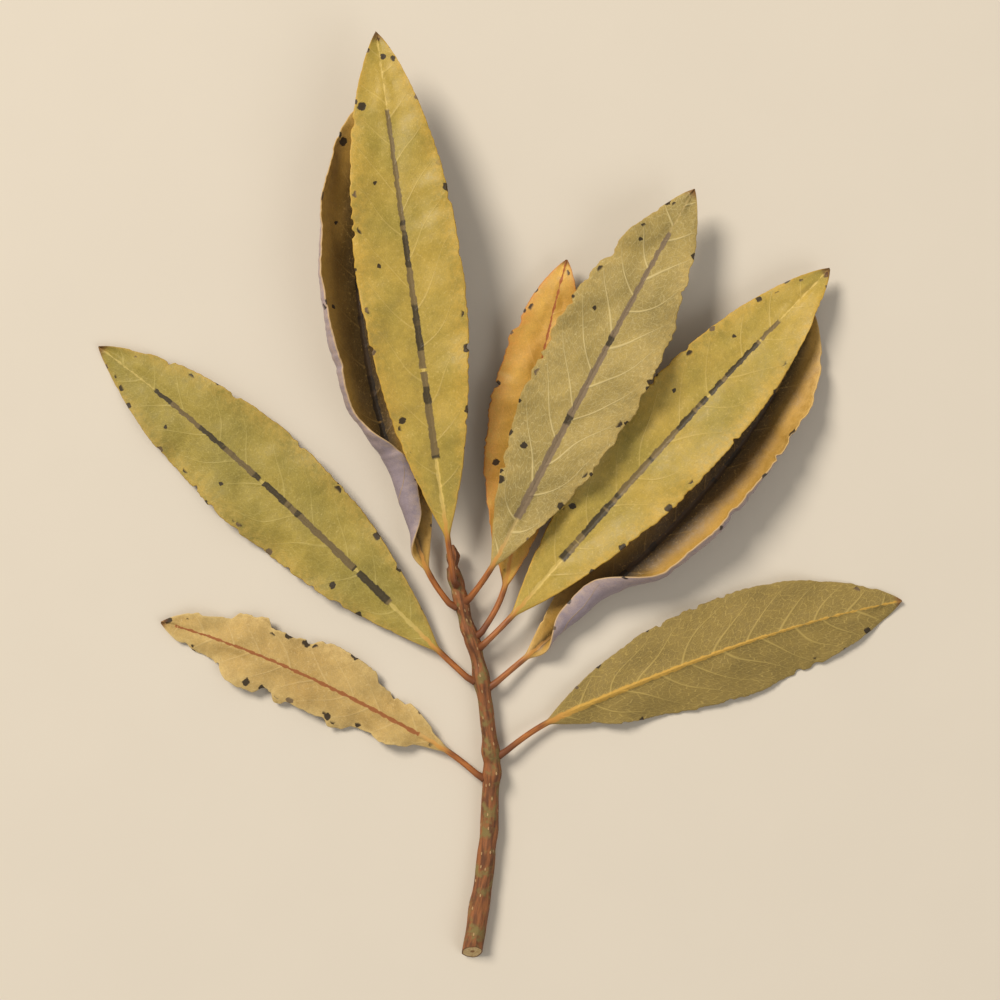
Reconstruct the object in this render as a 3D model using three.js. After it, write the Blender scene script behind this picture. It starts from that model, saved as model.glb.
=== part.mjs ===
// A cut sprig of dried bay (Laurus nobilis) lying on a flat surface: one twig and nine leaves.
// Millimetres. +Z is up, +Y runs from the cut end of the twig to the tips of the upper leaves.
// The origin is under the middle of the sprig, on the surface that it lies on.
import * as THREE from "three";

// Twig: the height of its middle follows its radius, so that it lies on the surface.
const TWIG_LENGTH = 66;
const TWIG_FOOT_RADIUS = 1.75;
const TWIG_TOP_RADIUS = 1.05;
const TWIG_BOW = 4.5; // how far the middle of the twig bows to the right
const TWIG_LEAN = 3; // how far its top ends to the left of its foot
const TWIG_TOP_LIFT = 1.6; // the top is held off the surface by the leaves under it
const TWIG_ZIGZAG = 0.35; // the small kink that each leaf leaves in the twig
const TWIG_KINK_LENGTH = 8;
const TWIG_SWELLING = 0.3; // extra radius where a leaf joins
const TWIG_SWELLING_LENGTH = 1.6;
const CUT_SLOPE = 0.7; // the cut end is slanted: mm along the twig per mm across it
const TWIG_STATIONS = 33;
const TWIG_SIDES = 10;

// The resting bud that ends the twig: a neck, a full middle and a point.
const BUD_LENGTH = 4.2;
const BUD_NECK_RADIUS = 0.8;
const BUD_RADIUS = 1.15;
const BUD_SHOULDER_RADIUS = 0.65;
const BUD_TIP_RADIUS = 0.12;
const BUD_PLACES = [0, 0.15, 0.5, 0.8, 1];
const BUD_STATIONS = [0.15, 0.3, 0.5, 0.7, 0.85, 1];

// Leaves: every size that they share. A share is of the blade's length, from its base to its tip.
const PETIOLE_RADIUS = 0.52;
const TIP_RADIUS = 0.28;
const PETIOLE_GAP = 0.87; // from the twig's skin to the middle of the leaf stalk's end
const BLADE_THICKNESS = 0.5;
const MARGIN_THICKNESS = 0.36;
const EDGE_THICKNESS = 0.1; // what a narrow blade keeps beyond its stalk's own roundness
const STALK_ROUNDNESS = 0.95; // 1 would bring the stalk's sides to a sharp edge
const MIDRIB_DEPTH = 0.45; // how far the midrib stands out below the blade
const MIDRIB_HALF_WIDTH = 0.09; // as a share of the half blade
const STALK_BEND = 1.6; // the stalk has turned to the leaf's heading after this many of its lengths
const BLADE_START = 0.12; // by this share the round stalk has become a flat blade
const WIDEST_RISE = 0.9; // the blade's outline is s^rise * (1 - s)^fall
const WIDEST_FALL = 0.8;
const CURL_RISE = 0.8; // less than 1 brings the strongest curl nearer to the base
const TUCK_START = 0.12; // a tucked half is rolled right over from here
const TUCK_HOLD = 0.18; // until here,
const TUCK_OPENING = 0.18; // and has opened again after this much more
const TUCK_GRIP = 0.6; // less than 1 starts the roll close to the midrib
const WALK_STEPS = 5; // a ring's points are reached in this many steps each, turning at every step
const STALK_STATIONS = 5;
const BLADE_STATIONS = 18;
const SPINE_STEPS = 240;
const SURFACE_CLEARANCE = 0.05;

// Each leaf. Pairs are for its left and right half.
// at: mm from the cut end to where it joins the twig.
// around: the side of the twig that it joins, in degrees from the right over the top.
// leaving: the stalk's first heading, in degrees to the right of +Y. heading: the blade's.
// bend: how far that has turned further at the tip.
// heights: the midrib's height at the blade's base, third, two thirds and tip.
// roll: degrees that the right half is raised at the base, middle and tip.
// fold: how steeply a half leaves the midrib. curl: how far it goes on turning up to the margin.
// grip: 1 turns evenly all the way across, and more leaves the turning to the margin.
// tuck: how far it is rolled over near its base instead, or 0 where it is not.
// wave and waves: the height and count of the ripples along each margin.
// across: columns of faces in each half.
const LEAVES = [
  {
    name: "leaf_long_flat",
    at: 64,
    around: 98,
    leaving: -8,
    heading: -8,
    bend: 0,
    stalk: 8,
    length: 88,
    width: 18.5,
    heights: [7.2, 11.2, 12.6, 10.2],
    roll: [0, -3, -6],
    fold: [7, 5],
    curl: [2, 5],
    tuck: [0, 0],
    grip: [1, 1],
    wave: 0.5,
    waves: 3.2,
    across: 4,
  },
  {
    name: "leaf_curled_left",
    at: 60,
    around: 165,
    leaving: -38,
    heading: -19.5,
    bend: 40,
    stalk: 7,
    length: 86,
    width: 21.5,
    heights: [3.9, 4.6, 5, 5.6],
    roll: [0, -4, 2],
    fold: [14, 0],
    curl: [126, -5],
    tuck: [196, 0],
    grip: [1.9, 1],
    wave: 0.35,
    waves: 2.4,
    across: 8,
  },
  {
    name: "leaf_pale_wavy",
    at: 61,
    around: 40,
    leaving: 38,
    heading: 27,
    bend: 3,
    stalk: 7,
    length: 74,
    width: 20,
    heights: [6, 7.8, 8.2, 7.4],
    roll: [0, 3, 2],
    fold: [4, 6],
    curl: [-10, 6],
    tuck: [0, 0],
    grip: [1, 1],
    wave: 1,
    waves: 4.3,
    across: 4,
  },
  {
    name: "leaf_small_orange",
    at: 55,
    around: 20,
    leaving: 34,
    heading: 7,
    bend: 9,
    stalk: 9,
    length: 58,
    width: 15.5,
    heights: [3.4, 3.8, 4.2, 3.8],
    roll: [0, 2, 6],
    fold: [3, 3],
    curl: [0, -6],
    tuck: [0, 0],
    grip: [1, 1],
    wave: 0.4,
    waves: 3.5,
    across: 4,
  },
  {
    name: "leaf_flat_right",
    at: 53,
    around: 30,
    leaving: 46,
    heading: 41,
    bend: 4,
    stalk: 7,
    length: 82,
    width: 18.5,
    heights: [4.2, 5.4, 5.4, 3.4],
    roll: [0, 5, 7],
    fold: [5, 7],
    curl: [4, 4],
    tuck: [0, 0],
    grip: [1, 1],
    wave: 0.5,
    waves: 3,
    across: 4,
  },
  {
    name: "leaf_curled_right",
    at: 46,
    around: 10,
    leaving: 50,
    heading: 51.5,
    bend: -33,
    stalk: 7,
    length: 80,
    width: 21.5,
    heights: [2, 1.6, 1.4, 1.5],
    roll: [0, 0, -2],
    fold: [0, 14],
    curl: [-4, 126],
    tuck: [0, 194],
    grip: [1, 1.9],
    wave: 0.35,
    waves: 2.6,
    across: 8,
  },
  {
    name: "leaf_olive_left",
    at: 47,
    around: 172,
    leaving: -48,
    heading: -45,
    bend: -9,
    stalk: 7,
    length: 80,
    width: 19,
    heights: [2.4, 2.8, 2.4, 0.8],
    roll: [0, -4, 0],
    fold: [-4, 5],
    curl: [-8, 4],
    tuck: [0, 0],
    grip: [1, 1],
    wave: 0.7,
    waves: 3.6,
    across: 4,
  },
  {
    name: "leaf_veined_right",
    at: 34,
    around: 8,
    leaving: 52,
    heading: 66,
    bend: 14,
    stalk: 9,
    length: 66,
    width: 18.5,
    heights: [1.9, 2.6, 2.2, 0.7],
    roll: [180, 178, 180],
    fold: [6, 5],
    curl: [8, 8],
    tuck: [0, 0],
    grip: [1, 1],
    wave: 0.5,
    waves: 3,
    across: 4,
  },
  {
    name: "leaf_ragged_left",
    at: 30,
    around: 172,
    leaving: -50,
    heading: -60,
    bend: -16,
    stalk: 7,
    length: 55,
    width: 14.5,
    heights: [1.9, 2.2, 2.4, 0.7],
    roll: [0, 0, 5],
    fold: [-4, -4],
    curl: [-8, -6],
    tuck: [0, 0],
    grip: [1, 1],
    wave: 0.6,
    waves: 3.7,
    across: 4,
  },
];

// The plain colour and roughness of each piece.
const LOOKS = {
  twig: { color: 0x8a5a34, roughness: 0.75 },
  leaf_long_flat: { color: 0xb79c47, roughness: 0.55 },
  leaf_curled_left: { color: 0xa98441, roughness: 0.55 },
  leaf_pale_wavy: { color: 0xa6925c, roughness: 0.75 },
  leaf_small_orange: { color: 0xcb9c49, roughness: 0.6 },
  leaf_flat_right: { color: 0xa88c42, roughness: 0.55 },
  leaf_curled_right: { color: 0xa68040, roughness: 0.55 },
  leaf_olive_left: { color: 0x988442, roughness: 0.6 },
  leaf_veined_right: { color: 0x8e7a45, roughness: 0.75 },
  leaf_ragged_left: { color: 0xbd9e5e, roughness: 0.7 },
};

const radians = THREE.MathUtils.degToRad;
const mix = THREE.MathUtils.lerp;
const ease = (x) => THREE.MathUtils.smoothstep(x, 0, 1);

// A smooth curve through the values at the given places.
function through(places, values, x) {
  const last = places.length - 1;
  let i = 0;
  while (i < last - 1 && x > places[i + 1]) {
    i += 1;
  }
  const slopeAt = (k) => {
    const before = Math.max(k - 1, 0);
    const after = Math.min(k + 1, last);
    return (values[after] - values[before]) / (places[after] - places[before]);
  };
  const span = places[i + 1] - places[i];
  const t = (x - places[i]) / span;
  const rise = values[i + 1] - values[i];
  const bulge = (slopeAt(i) * span - rise) * (1 - t) - (slopeAt(i + 1) * span - rise) * t;
  return values[i] + rise * t + t * (1 - t) * bulge;
}

// The faces between one ring and the next, all the way along.
function sideFaces(count, sides) {
  const faces = [];
  for (let i = 0; i + 1 < count; i += 1) {
    for (let j = 0; j < sides; j += 1) {
      const a = i * sides + j;
      const b = i * sides + ((j + 1) % sides);
      faces.push(a, b, b + sides, a, b + sides, a + sides);
    }
  }
  return faces;
}

function middleOf(ring) {
  return ring.reduce((sum, point) => sum.add(point), new THREE.Vector3()).divideScalar(ring.length);
}

// A closed body through rings of equal length, with a fan over each end.
function loft(rings) {
  const sides = rings[0].length;
  const points = rings.flat();
  const faces = sideFaces(rings.length, sides);
  const first = points.push(middleOf(rings[0])) - 1;
  const end = points.push(middleOf(rings[rings.length - 1])) - 1;
  const lastRing = (rings.length - 1) * sides;
  for (let j = 0; j < sides; j += 1) {
    const next = (j + 1) % sides;
    faces.push(first, next, j);
    faces.push(end, lastRing + j, lastRing + next);
  }
  const geometry = new THREE.BufferGeometry().setFromPoints(points);
  geometry.setIndex(faces);
  geometry.computeVertexNormals();
  return geometry;
}

function named(name, geometry) {
  const material = new THREE.MeshStandardMaterial({ metalness: 0, ...LOOKS[name] });
  const mesh = new THREE.Mesh(geometry, material);
  mesh.name = name;
  return mesh;
}

// How much a leaf joint swells the twig at this distance from the cut end.
function swelling(along) {
  const nearness = LEAVES.map((leaf) =>
    Math.exp(-(((along - leaf.at) / TWIG_SWELLING_LENGTH) ** 2)),
  );
  return TWIG_SWELLING * Math.max(...nearness);
}

function twigRadius(along) {
  const share = Math.min(along / TWIG_LENGTH, 1);
  return mix(TWIG_FOOT_RADIUS, TWIG_TOP_RADIUS, share) + swelling(along);
}

// How far the leaves passed so far have pushed the twig to the right.
function kink(along) {
  return LEAVES.reduce((sum, leaf) => {
    const passed = ease((along - leaf.at) / TWIG_KINK_LENGTH + 0.5);
    return sum - TWIG_ZIGZAG * Math.cos(radians(leaf.around)) * passed;
  }, 0);
}

function twigMiddle(along) {
  const share = along / TWIG_LENGTH;
  const bow = TWIG_BOW * Math.sin(Math.PI * Math.min(share, 1));
  const lift = TWIG_TOP_LIFT * ease(share) * share;
  return new THREE.Vector3(bow - TWIG_LEAN * share + kink(along), along, twigRadius(along) + lift);
}

function budRadius(share) {
  const radii = [TWIG_TOP_RADIUS, BUD_NECK_RADIUS, BUD_RADIUS, BUD_SHOULDER_RADIUS, BUD_TIP_RADIUS];
  return through(BUD_PLACES, radii, share);
}

function twigRing(along, radius, slope) {
  const middle = twigMiddle(Math.min(along, TWIG_LENGTH));
  middle.y = along;
  const ring = [];
  for (let j = 0; j < TWIG_SIDES; j += 1) {
    const angle = (-2 * Math.PI * j) / TWIG_SIDES;
    const across = radius * Math.cos(angle);
    const up = radius * Math.sin(angle);
    ring.push(new THREE.Vector3(middle.x + across, middle.y + slope * up, middle.z + up));
  }
  return ring;
}

function twig() {
  const cutBack = -CUT_SLOPE * TWIG_FOOT_RADIUS;
  const rings = [twigRing(cutBack, twigRadius(0), CUT_SLOPE)];
  for (let i = 1; i <= TWIG_STATIONS; i += 1) {
    const along = (TWIG_LENGTH * i) / TWIG_STATIONS;
    rings.push(twigRing(along, twigRadius(along), 0));
  }
  for (const share of BUD_STATIONS) {
    rings.push(twigRing(TWIG_LENGTH + BUD_LENGTH * share, budRadius(share), 0));
  }
  return named("twig", loft(rings));
}

// Where a leaf's stalk starts, just clear of the twig's skin.
function stalkFoot(leaf) {
  const reach = twigRadius(leaf.at) + PETIOLE_GAP;
  const angle = radians(leaf.around);
  const foot = twigMiddle(leaf.at);
  foot.x += reach * Math.cos(angle);
  foot.z += reach * Math.sin(angle);
  return foot;
}

// The midrib's path from the stalk's foot to the tip, in equal steps.
function spine(leaf) {
  const total = leaf.stalk + leaf.length;
  const foot = stalkFoot(leaf);
  const third = leaf.length / 3;
  const places = [0, leaf.stalk, leaf.stalk + third, leaf.stalk + 2 * third, total];
  const step = total / SPINE_STEPS;
  const points = [foot];
  for (let i = 1; i <= SPINE_STEPS; i += 1) {
    const along = (i - 0.5) * step;
    const turned = mix(leaf.leaving, leaf.heading, ease(along / (STALK_BEND * leaf.stalk)));
    const heading = radians(turned + leaf.bend * (along / total) ** 2);
    const before = points[i - 1];
    const z = through(places, [foot.z, ...leaf.heights], i * step);
    const level = Math.sqrt(Math.max(step * step - (z - before.z) ** 2, 0));
    const x = before.x + level * Math.sin(heading);
    const y = before.y + level * Math.cos(heading);
    points.push(new THREE.Vector3(x, y, z));
  }
  return points;
}

function outline(share) {
  const widest = WIDEST_RISE / (WIDEST_RISE + WIDEST_FALL);
  const shape = (s) => s ** WIDEST_RISE * (1 - s) ** WIDEST_FALL;
  return shape(share) / shape(widest);
}

// Everything that a ring shares across its width. right points across the leaf, up off its upper face.
function sectionAt(leaf, points, along) {
  const total = leaf.stalk + leaf.length;
  const share = THREE.MathUtils.clamp((along - leaf.stalk) / leaf.length, 0, 1);
  const i = Math.round((along / total) * SPINE_STEPS);
  const before = points[Math.max(i - 1, 0)];
  const after = points[Math.min(i + 1, SPINE_STEPS)];
  const forward = after.clone().sub(before).normalize();
  const right = forward.clone().cross(new THREE.Vector3(0, 0, 1)).normalize();
  right.applyAxisAngle(forward, -radians(through([0, 0.5, 1], leaf.roll, share)));
  const stalkRadius = mix(PETIOLE_RADIUS, TIP_RADIUS, share);
  return {
    share,
    right,
    up: right.clone().cross(forward),
    point: points[i],
    bladeness: ease(share / BLADE_START),
    stalkRadius,
    half: Math.hypot(stalkRadius, (leaf.width / 2) * outline(share)),
  };
}

// How far one half has turned up at each share of its width, in radians.
function turning(leaf, half, section) {
  const { share, bladeness } = section;
  const fold = radians(leaf.fold[half]) * bladeness;
  const curl = radians(leaf.curl[half]) * Math.sin(Math.PI * share ** CURL_RISE);
  const tuck = radians(leaf.tuck[half]);
  const closed = ease(share / TUCK_START) * (1 - ease((share - TUCK_HOLD) / TUCK_OPENING));
  const tucked = tuck === 0 ? 0 : closed;
  return (t) => fold + mix(curl * t ** leaf.grip[half], tuck * t ** TUCK_GRIP, tucked);
}

// The middle of the blade's thickness at each column of one half, from the midrib out.
function walkOut(leaf, section, side, turned) {
  const here = section.point.clone();
  const places = [here.clone()];
  const steps = leaf.across * WALK_STEPS;
  const pace = section.half / steps;
  for (let n = 1; n <= steps; n += 1) {
    const angle = turned((n - 0.5) / steps);
    here.addScaledVector(section.right, side * pace * Math.cos(angle));
    here.addScaledVector(section.up, pace * Math.sin(angle));
    if (n % WALK_STEPS === 0) {
      places.push(here.clone());
    }
  }
  return places;
}

// Half the blade's thickness: round in the stalk, flat in the blade.
function halfThickness(section, t) {
  const round = section.stalkRadius * Math.sqrt(1 - STALK_ROUNDNESS * t * t);
  const flat = mix(BLADE_THICKNESS, MARGIN_THICKNESS, t) / 2;
  return mix(round, Math.min(flat, round + EDGE_THICKNESS), section.bladeness);
}

function midribDepth(section, t) {
  const depth = section.bladeness * (1 - section.share) * MIDRIB_DEPTH;
  return depth * Math.exp(-((t / MIDRIB_HALF_WIDTH) ** 2));
}

// The two skins of one half at one ring, each from the midrib out to the margin.
function halfSkins(leaf, section, side) {
  const turned = turning(leaf, side === 1 ? 1 : 0, section);
  const phase = 2 * Math.PI * leaf.waves * section.share + side + leaf.at;
  const ripple = leaf.wave * section.bladeness * Math.sin(phase);
  const over = [];
  const under = [];
  walkOut(leaf, section, side, turned).forEach((middle, k) => {
    const t = k / leaf.across;
    const normal = section.up.clone().multiplyScalar(Math.cos(turned(t)));
    normal.addScaledVector(section.right, -side * Math.sin(turned(t)));
    middle.addScaledVector(normal, ripple * t * t);
    const thick = halfThickness(section, t);
    over.push(middle.clone().addScaledVector(normal, thick));
    under.push(middle.clone().addScaledVector(normal, -thick - midribDepth(section, t)));
  });
  return { over, under };
}

// One ring: over the upper face from left to right, and back under the lower face.
function leafRing(leaf, points, along) {
  const section = sectionAt(leaf, points, along);
  const left = halfSkins(leaf, section, -1);
  const right = halfSkins(leaf, section, 1);
  const over = [...left.over.slice(1).reverse(), ...right.over];
  const under = [...right.under.reverse(), ...left.under.slice(1)];
  const ring = [...over, ...under];
  for (const point of ring) {
    point.z = Math.max(point.z, SURFACE_CLEARANCE);
  }
  return ring;
}

function leaf(shape) {
  const points = spine(shape);
  const rings = [];
  for (let i = 0; i < STALK_STATIONS; i += 1) {
    rings.push(leafRing(shape, points, (shape.stalk * i) / STALK_STATIONS));
  }
  for (let i = 0; i <= BLADE_STATIONS; i += 1) {
    rings.push(leafRing(shape, points, shape.stalk + (shape.length * i) / BLADE_STATIONS));
  }
  return named(shape.name, loft(rings));
}

const root = new THREE.Group();
root.add(twig());
for (const shape of LEAVES) {
  root.add(leaf(shape));
}
const box = new THREE.Box3().setFromObject(root, true);
const middle = box.getCenter(new THREE.Vector3());
root.position.set(-middle.x, -middle.y, -box.min.z);

export default root;
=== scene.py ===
"""The looks of the dried bay sprig: its twig and nine leaves, on a pale floor, seen from straight above.

Every surface is built here from the same sizes as the CAD, in more detail. Sizes are in millimetres until
a mesh is made, and +Z is up."""

import math

import bpy
import numpy as np
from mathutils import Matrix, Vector


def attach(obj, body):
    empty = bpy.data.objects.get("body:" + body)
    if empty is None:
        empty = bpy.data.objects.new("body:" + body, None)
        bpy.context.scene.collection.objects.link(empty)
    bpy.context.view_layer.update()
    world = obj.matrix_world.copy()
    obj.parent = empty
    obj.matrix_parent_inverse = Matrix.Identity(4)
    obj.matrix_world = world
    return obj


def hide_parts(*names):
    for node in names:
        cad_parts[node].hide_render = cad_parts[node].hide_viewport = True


MM = 0.001

# The sprig's own frame starts at the foot of the twig. This takes it to the shared frame.
SHIFT = np.array([-4.6958, -78.0060, -0.05])
LOWEST = 0.02  # nothing goes below this height

# Twig, as in the CAD
TWIG_LENGTH = 66.0
TWIG_FOOT_RADIUS = 1.75
TWIG_TOP_RADIUS = 1.05
TWIG_BOW = 4.5
TWIG_LEAN = 3.0
TWIG_TOP_LIFT = 1.6
TWIG_ZIGZAG = 0.35
TWIG_KINK_LENGTH = 8.0
TWIG_SWELLING = 0.3
TWIG_SWELLING_LENGTH = 1.6
CUT_SLOPE = 0.7
BUD_LENGTH = 4.2
BUD_NECK_RADIUS = 0.8
BUD_RADIUS = 1.15
BUD_SHOULDER_RADIUS = 0.65
BUD_TIP_RADIUS = 0.12
BUD_PLACES = (0, 0.15, 0.5, 0.8, 1)

# Twig, what only the eye sees
TWIG_ROWS = 420
BUD_ROWS = 50
TWIG_SIDES = 48
TWIG_SEED = 7
BARK_RIBS = [(0.9, 0.035), (2.2, 0.05)]  # wavelength, and height as a share of the radius
BARK_LUMPS = [(3.0, 0.04)]
BARK_STRETCH = 0.16  # places along the twig count this much less, so the ribs run along it
CUT_RINGS = 5
CUT_BLEND = 3.0  # mm over which the slant of the cut dies out
CUT_DISH = 0.12  # the pith has sunk this far
BUD_SCALES = 3.2  # scales along the bud
BUD_SCALE_DEPTH = 0.12

# Leaves, as in the CAD
PETIOLE_RADIUS = 0.52
PETIOLE_GAP = 0.87
STALK_BEND = 1.6
BLADE_START = 0.12
WIDEST_RISE = 0.9
WIDEST_FALL = 0.8
CURL_RISE = 0.8
TUCK_START = 0.12
TUCK_HOLD = 0.18
TUCK_OPENING = 0.18
TUCK_GRIP = 0.6
SPINE_STEPS = 240

# Leaves, what only the eye sees
BLADE_THICKNESS = 0.36
EDGE_ROUNDING = 0.22  # mm of the margin that is rounded off
TIP_RADIUS = 0.16
FOOT_SWELLING = 0.45  # the stalk is this much thicker where it leaves the twig
FOOT_SWELLING_LENGTH = 1.1
FOOT_DEPTH = 0.35  # the stalk starts this far under the twig's skin
VEIN_LEAN = 0.84  # a side vein climbs this much per mm across, next to the midrib
VEIN_CURVE = 0.075  # and this much more for each mm further out
VEIN_SLANT = 0.7  # the gap between side veins, square to them, as a share of the gap along the midrib
VEIN_HEIGHT = 0.045
VEIN_HEIGHT_BELOW = 0.05
VEIN_RIDGE = 0.22  # mm from the top of a side vein's ridge to where it is nearly gone
QUILT_HEIGHT = 0.03  # the blade swells this much between side veins
QUILT_HEIGHT_BELOW = 0.02
RIB_HEIGHT = 0.42  # the midrib stands this far out below, at the foot of the blade
RIB_RIDGE = (0.55, 0.25)  # mm, at the foot and the tip
GROOVE_DEPTH = 0.085  # over the midrib
GROOVE_RIDGE = 0.4
MARGIN_BEAD = 0.03  # the margin is this much thicker
TEETH = [(1.1, 0.3), (2.9, 0.4)]  # wavelength, and height as a share of the look's teeth
TEAR_WAVELENGTH = 8.0
TEAR_SHARPNESS = 1.3
SIDES_APART = 7.0  # keeps the two margins of a leaf different
WHOLE_AT_ENDS = (0.06, 0.04)  # the shares of the blade at its foot and tip where little is missing
NICK_PLACES = (0.08, 0.94)  # shares of the blade's length
NICK_DEPTHS = (0.02, 0.07)  # shares of the half width
NICK_REACHES = (0.35, 0.9)
COCKLES = [(9.0, 0.22), (3.6, 0.05)]  # wavelength and height
NET_STRETCH = 1.3  # the net of small veins is finer across the leaf than along it
NET_SIDES_APART = 57.0  # keeps the nets of a leaf's two halves different
VEIN_DRIFT = [(14.0, 0.9)]  # wavelength, and how far a side vein strays
BLADE_STATIONS = 290
STALK_STATIONS = 36
HALF_COLUMNS = 34
COLUMN_CROWDING = 0.6  # columns stand closer at the midrib and the margin
WALK_STEPS = 4

# The leaves from the top of the twig down. Angles are in degrees, and pairs are for the left and right half.
# at: how far up the twig. around: where round it, from its right side over its top.
# leaving, heading: the way the stalk and the blade go, to the right of straight up the twig.
# bend: how far the tip has turned from there. heights: at the blade's foot, a third, two thirds and the tip.
# roll: how far the right side is tipped up, at the blade's foot, middle and tip.
# fold: how far a half turns up at the midrib. curl: how much more it turns up by the margin.
# grip: how late across the half that comes. tuck: how far a half is rolled over near the blade's foot.
# wave, waves: the height and the number of the margin's waves.
LEAVES = [
    dict(
        name="leaf_long_flat",
        at=64, around=98, leaving=-8, heading=-8, bend=0, stalk=8,
        length=88, width=18.5, heights=(7.2, 11.2, 12.6, 10.2), roll=(0, -3, -6),
        fold=(7, 5), curl=(2, 5), tuck=(0, 0), grip=(1, 1),
        wave=0.5, waves=3.2, look="olive_gold", seed=3,
    ),
    dict(
        name="leaf_curled_left",
        at=60, around=165, leaving=-38, heading=-19.5, bend=40, stalk=7,
        length=86, width=21.5, heights=(3.9, 4.6, 5, 5.6), roll=(0, -4, 2),
        fold=(14, 0), curl=(126, -5), tuck=(196, 0), grip=(1.9, 1),
        wave=0.35, waves=2.4, look="golden_brown", seed=5,
    ),
    dict(
        name="leaf_pale_wavy",
        at=61, around=40, leaving=38, heading=27, bend=3, stalk=7,
        length=74, width=20, heights=(6, 7.8, 8.2, 7.4), roll=(0, 3, 2),
        fold=(4, 6), curl=(-10, 6), tuck=(0, 0), grip=(1, 1),
        wave=1, waves=4.3, look="pale_khaki", seed=8,
    ),
    dict(
        name="leaf_small_orange",
        at=55, around=20, leaving=34, heading=7, bend=9, stalk=9,
        length=58, width=15.5, heights=(3.4, 3.8, 4.2, 3.8), roll=(0, 2, 6),
        fold=(3, 3), curl=(0, -6), tuck=(0, 0), grip=(1, 1),
        wave=0.4, waves=3.5, look="orange_tan", seed=13,
    ),
    dict(
        name="leaf_flat_right",
        at=53, around=30, leaving=46, heading=41, bend=4, stalk=7,
        length=82, width=18.5, heights=(4.2, 5.4, 5.4, 3.4), roll=(0, 5, 7),
        fold=(5, 7), curl=(4, 4), tuck=(0, 0), grip=(1, 1),
        wave=0.5, waves=3, look="olive_gold", seed=21,
    ),
    dict(
        name="leaf_curled_right",
        at=46, around=10, leaving=50, heading=51.5, bend=-33, stalk=7,
        length=80, width=21.5, heights=(2, 1.6, 1.4, 1.5), roll=(0, 0, -2),
        fold=(0, 14), curl=(-4, 126), tuck=(0, 194), grip=(1, 1.9),
        wave=0.35, waves=2.6, look="golden_brown", seed=34,
    ),
    dict(
        name="leaf_olive_left",
        at=47, around=172, leaving=-48, heading=-45, bend=-9, stalk=7,
        length=80, width=19, heights=(2.4, 2.8, 2.4, 0.8), roll=(0, -4, 0),
        fold=(-4, 5), curl=(-8, 4), tuck=(0, 0), grip=(1, 1),
        wave=0.7, waves=3.6, look="dull_olive", seed=55,
    ),
    dict(
        name="leaf_veined_right",
        at=34, around=8, leaving=52, heading=66, bend=14, stalk=9,
        length=66, width=18.5, heights=(1.9, 2.6, 2.2, 0.7), roll=(180, 178, 180),
        fold=(6, 5), curl=(8, 8), tuck=(0, 0), grip=(1, 1),
        wave=0.5, waves=3, look="veined_khaki", seed=89,
    ),
    dict(
        name="leaf_ragged_left",
        at=30, around=172, leaving=-50, heading=-60, bend=-16, stalk=7,
        length=55, width=14.5, heights=(1.9, 2.2, 2.4, 0.7), roll=(0, 0, 5),
        fold=(-4, -4), curl=(-8, -6), tuck=(0, 0), grip=(1, 1),
        wave=0.6, waves=3.7, look="cream_tan", seed=144,
    ),
]


def ease(x):
    x = np.clip(x, 0, 1)
    return x * x * (3 - 2 * x)


def bump(x):
    """1 at nought, and gone by about 2 on either side."""
    return np.exp(-(x**2))


def mix(a, b, share):
    return a + (b - a) * share


def through(places, values, x):
    """A smooth curve through the values at the given places."""
    places = np.asarray(places, float)
    values = np.asarray(values, float)
    last = len(places) - 1
    before = np.maximum(np.arange(last + 1) - 1, 0)
    after = np.minimum(np.arange(last + 1) + 1, last)
    slopes = (values[after] - values[before]) / (places[after] - places[before])
    i = np.clip(np.searchsorted(places, x, side="left") - 1, 0, last - 1)
    span = places[i + 1] - places[i]
    t = (x - places[i]) / span
    rise = values[i + 1] - values[i]
    bulge = (slopes[i] * span - rise) * (1 - t) - (slopes[i + 1] * span - rise) * t
    return values[i] + rise * t + t * (1 - t) * bulge


def unit(vectors):
    return vectors / np.linalg.norm(vectors, axis=-1, keepdims=True)


def grid_of(*parts):
    """Parts that broadcast together, as the last axis of one array."""
    return np.stack(np.broadcast_arrays(*parts), -1)


def noise(points, wavelength, rng, waves=16):
    """Smooth noise at points in mm, mostly between -1 and 1."""
    points = np.asarray(points, float)
    directions = unit(rng.normal(size=(waves, points.shape[-1])))
    lengths = wavelength * rng.uniform(0.7, 1.5, waves)
    phases = rng.uniform(0, 2 * math.pi, waves)
    ripples = np.cos(points @ (directions * (2 * math.pi / lengths)[:, None]).T + phases)
    return ripples.sum(-1) / math.sqrt(waves)


def layered_noise(points, layers, rng):
    """Noise in layers, each given by its wavelength and its height."""
    return sum(noise(points, wavelength, rng) * height for wavelength, height in layers)


# ---------------------------------------------------------------- meshes


def ring_faces(stations, sides):
    """Quads between rings, and which place round the ring each starts at."""
    i, j = np.meshgrid(np.arange(stations - 1), np.arange(sides), indexing="ij")
    following = (j + 1) % sides
    a = i * sides + j
    b = i * sides + following
    quads = np.stack([a, b, b + sides, a + sides], -1).reshape(-1, 4)
    return quads, j.reshape(-1)


def cap(ring, centre, outward):
    """A fan over an open ring."""
    pairs = zip(ring, ring[1:] + ring[:1])
    if outward:
        return [[centre, here, following] for here, following in pairs]
    return [[centre, following, here] for here, following in pairs]


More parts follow.
